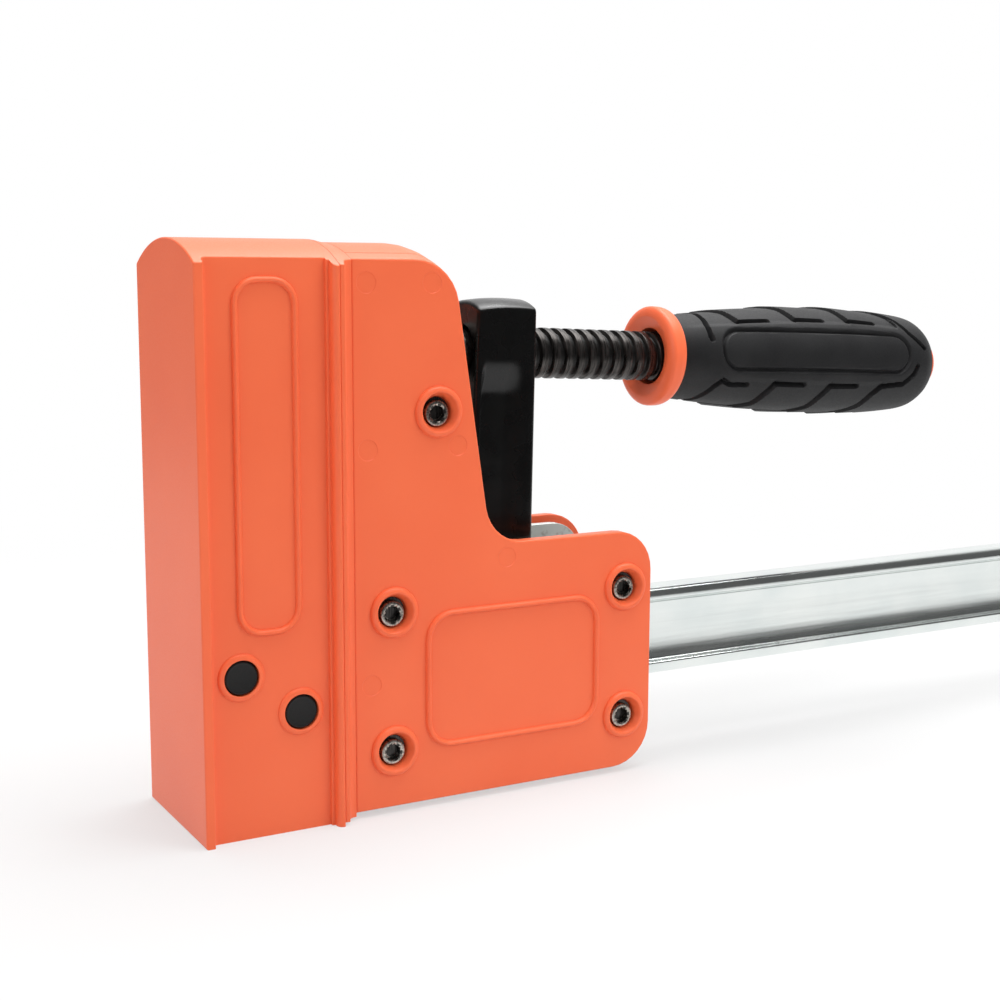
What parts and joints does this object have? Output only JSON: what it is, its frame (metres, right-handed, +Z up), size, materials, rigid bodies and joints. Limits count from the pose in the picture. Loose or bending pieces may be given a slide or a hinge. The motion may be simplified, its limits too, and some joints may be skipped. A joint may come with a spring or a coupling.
{
  "type": "parallel clamp",
  "caption": "Parallel bar clamp with a fixed jaw, a sliding jaw on an I-section bar, and a screw-driven clamping arm with a rubber grip.",
  "frame": {"origin": "centre of the fixed jaw's flat base, on the surface the clamp lies on", "axes": "+X along the bar from the fixed jaw to the end foot, +Z up, -Y the side with the screw heads"},
  "size_m": [0.4557, 0.0474, 0.1496],
  "materials": {
    "orange_plastic": "fine satin moulding",
    "zinc_steel": "bright zinc plating",
    "arm_paint": "gloss black paint",
    "oxide_steel": "black oxide, oiled",
    "dark_steel": "dark oxide with bright rims",
    "cast_core": "raw casting",
    "black_plastic": "matt moulding",
    "grip_rubber": "matt moulded tread"
  },
  "bodies": {
    "fixed_jaw": {"bar": "zinc_steel", "bar_end_foot": "black_plastic", "foot_pin": "dark_steel", "fixed_jaw_housing": "orange_plastic", "fixed_jaw_face": "orange_plastic", "fixed_jaw_core": "cast_core", "rear_jaw_pin": "dark_steel", "front_jaw_pin": "dark_steel", "rear_pin_plug_near": "black_plastic", "front_pin_plug_near": "black_plastic", "rear_pin_plug_far": "black_plastic", "front_pin_plug_far": "black_plastic"},
    "sliding_jaw": {"jaw_face": "orange_plastic", "jaw_cover_near": "orange_plastic", "jaw_cover_far": "orange_plastic", "side_plate_near": "zinc_steel", "side_plate_far": "zinc_steel", "jaw_spacer": "orange_plastic", "thrust_block": "dark_steel", "front_upper_screw": "dark_steel", "rear_upper_screw": "dark_steel", "front_lower_screw": "dark_steel", "rear_lower_screw": "dark_steel", "top_screw": "dark_steel", "front_upper_nut": "zinc_steel", "rear_upper_nut": "zinc_steel", "front_lower_nut": "zinc_steel", "rear_lower_nut": "zinc_steel", "top_nut": "zinc_steel", "front_upper_washer_near": "zinc_steel", "rear_upper_washer_near": "zinc_steel", "front_lower_washer_near": "zinc_steel", "rear_lower_washer_near": "zinc_steel", "top_washer_near": "zinc_steel", "front_upper_washer_far": "zinc_steel", "rear_upper_washer_far": "zinc_steel", "front_lower_washer_far": "zinc_steel", "rear_lower_washer_far": "zinc_steel", "top_washer_far": "zinc_steel", "front_upper_sleeve": "dark_steel", "rear_upper_sleeve": "dark_steel", "front_lower_sleeve": "dark_steel", "rear_lower_sleeve": "dark_steel"},
    "pin_carriage": {"pivot_pin": "dark_steel"},
    "arm": {"clamp_arm": "arm_paint"},
    "pad": {"swivel_pad": "dark_steel"},
    "screw": {"spindle": "oxide_steel", "handle_core": "orange_plastic", "grip": "grip_rubber", "handle_pin": "dark_steel"}
  },
  "joints": [
    {"name": "jaw_slide", "type": "slide", "parent": "fixed_jaw", "child": "sliding_jaw", "axis": [1, 0, 0], "range_m": [0, 0.305]},
    {"name": "arm_feed", "type": "slide", "parent": "sliding_jaw", "child": "pin_carriage", "axis": [1, 0, 0], "range_m": [0, 0.02]},
    {"name": "arm_rock", "type": "hinge", "parent": "pin_carriage", "child": "arm", "pos_m": [0.0707, 0, 0.0585], "axis": [0, 1, 0], "range_deg": [-2.6, 0]},
    {"name": "pad_feed", "type": "slide", "parent": "arm", "child": "pad", "axis": [-0.999, 0, 0.0455], "range_m": [0, 0.02001]},
    {"name": "spindle_turn", "type": "hinge", "parent": "pad", "child": "screw", "pos_m": [0.07348, 0, 0.1196], "axis": [-0.999, 0, 0.0455], "range_deg": [0, 1800.1]}
  ],
  "couplings": [
    {"joint": "spindle_turn", "follows": "arm_feed", "rad_per_m": 1570.8},
    {"joint": "pad_feed", "follows": "arm_feed", "ratio": 1}
  ]
}
